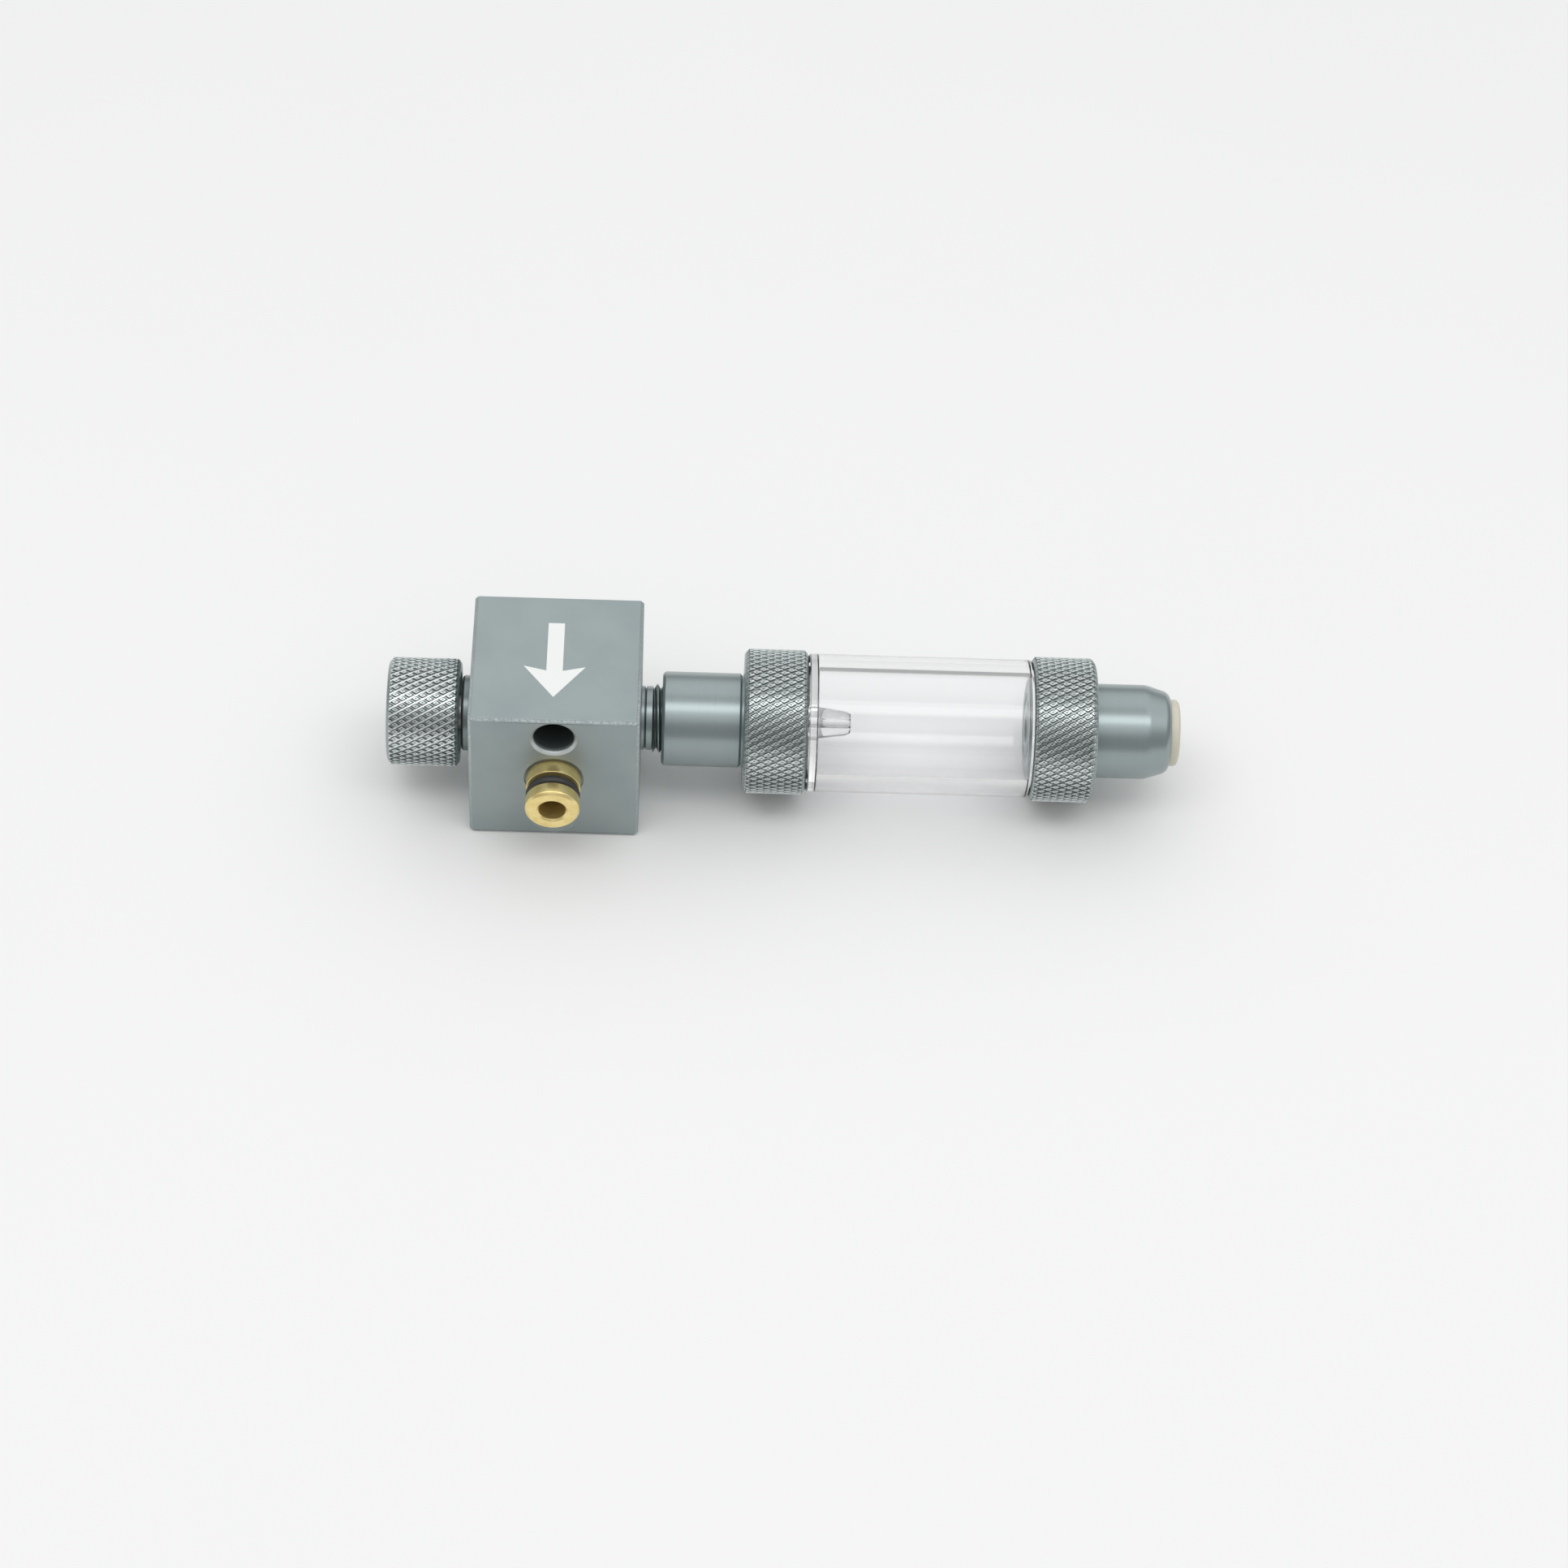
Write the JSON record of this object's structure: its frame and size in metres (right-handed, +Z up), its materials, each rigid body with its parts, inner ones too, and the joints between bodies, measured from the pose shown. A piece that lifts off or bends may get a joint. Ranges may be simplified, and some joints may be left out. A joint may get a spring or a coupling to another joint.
{
  "type": "carbon dioxide needle valve and bubble counter module",
  "caption": "Cubic aluminium valve block with a knurled needle-valve knob, a coupling nipple and a clear bubble counter ending in a push-in hose outlet.",
  "frame": {"origin": "centre of the valve block's base face", "axes": "+X along the gas line from the needle knob to the hose outlet, -Y out of the coupling nipple, +Z up out of the block's top face"},
  "size_m": [0.1172, 0.0314, 0.025],
  "materials": {
    "anodised": "satin blue-grey anodised",
    "brass": "bright turned",
    "rubber": "black nitrile",
    "steel": "turned stainless",
    "acrylic": "polished clear",
    "ptfe": "plain white",
    "collet": "moulded ivory"
  },
  "bodies": {
    "block": {"valve_block": "anodised", "coupling_nipple": "brass", "nipple_oring_front": "rubber", "nipple_oring_rear": "rubber", "bonnet": "anodised", "bonnet_oring": "rubber", "valve_seat": "brass", "seat_oring": "rubber", "threaded_connector": "anodised", "connector_oring": "rubber"},
    "stem_seals": {"stem_orings": "rubber"},
    "needle": {"needle_knob": "anodised", "knob_set_screw": "steel", "needle_stem": "steel"},
    "thread_seal": {"base_oring": "rubber"},
    "counter": {"counter_base": "anodised", "spring_retainer": "brass", "base_tube_oring": "rubber", "bubble_jet": "acrylic", "bubble_chamber": "acrylic", "outlet_oring": "rubber", "outlet_body": "anodised", "hose_seal": "rubber", "grab_ring": "steel", "check_spring": "steel"},
    "poppet": {"check_poppet": "brass", "poppet_oring": "rubber"},
    "lower_ring": {"lower_slip_ring": "ptfe"},
    "lower_collar": {"lower_collar": "anodised"},
    "upper_ring": {"upper_slip_ring": "ptfe"},
    "upper_collar": {"upper_collar": "anodised"},
    "collet": {"release_collet": "collet"}
  },
  "joints": [
    {"name": "needle_travel", "type": "slide", "parent": "block", "child": "stem_seals", "axis": [-1, 0, 0], "range_m": [0, 0.002]},
    {"name": "knob_turn", "type": "hinge", "parent": "stem_seals", "child": "needle", "pos_m": [-0.014, 0, 0.0125], "axis": [-1, 0, 0], "range_deg": [0, 1440]},
    {"name": "counter_travel", "type": "slide", "parent": "block", "child": "thread_seal", "axis": [1, 0, 0], "range_m": [-0.001, 0.001]},
    {"name": "counter_turn", "type": "hinge", "parent": "thread_seal", "child": "counter", "pos_m": [0.0219, 0, 0.0125], "axis": [1, 0, 0], "range_deg": [-360, 360]},
    {"name": "check_lift", "type": "slide", "parent": "counter", "child": "poppet", "axis": [1, 0, 0], "range_m": [0, 0.001], "stiffness_N_per_m": 60, "springref_m": -0.0005, "deforming": ["check_spring"]},
    {"name": "lower_collar_travel", "type": "slide", "parent": "counter", "child": "lower_ring", "axis": [-1, 0, 0], "range_m": [0, 0.001]},
    {"name": "lower_collar_turn", "type": "hinge", "parent": "lower_ring", "child": "lower_collar", "pos_m": [0.0297, 0, 0.0125], "axis": [-1, 0, 0], "range_deg": [0, 360]},
    {"name": "upper_collar_travel", "type": "slide", "parent": "counter", "child": "upper_ring", "axis": [1, 0, 0], "range_m": [0, 0.001]},
    {"name": "upper_collar_turn", "type": "hinge", "parent": "upper_ring", "child": "upper_collar", "pos_m": [0.0773, 0, 0.0125], "axis": [1, 0, 0], "range_deg": [0, 360]},
    {"name": "collet_press", "type": "slide", "parent": "counter", "child": "collet", "axis": [-1, 0, 0], "range_m": [0, 0.001], "stiffness_N_per_m": 300, "springref_m": -0.0003}
  ],
  "couplings": [
    {"joint": "knob_turn", "follows": "needle_travel", "rad_per_m": 12566},
    {"joint": "counter_turn", "follows": "counter_travel", "rad_per_m": 6283.2},
    {"joint": "lower_collar_turn", "follows": "lower_collar_travel", "rad_per_m": 6283.2},
    {"joint": "upper_collar_turn", "follows": "upper_collar_travel", "rad_per_m": 6283.2}
  ]
}
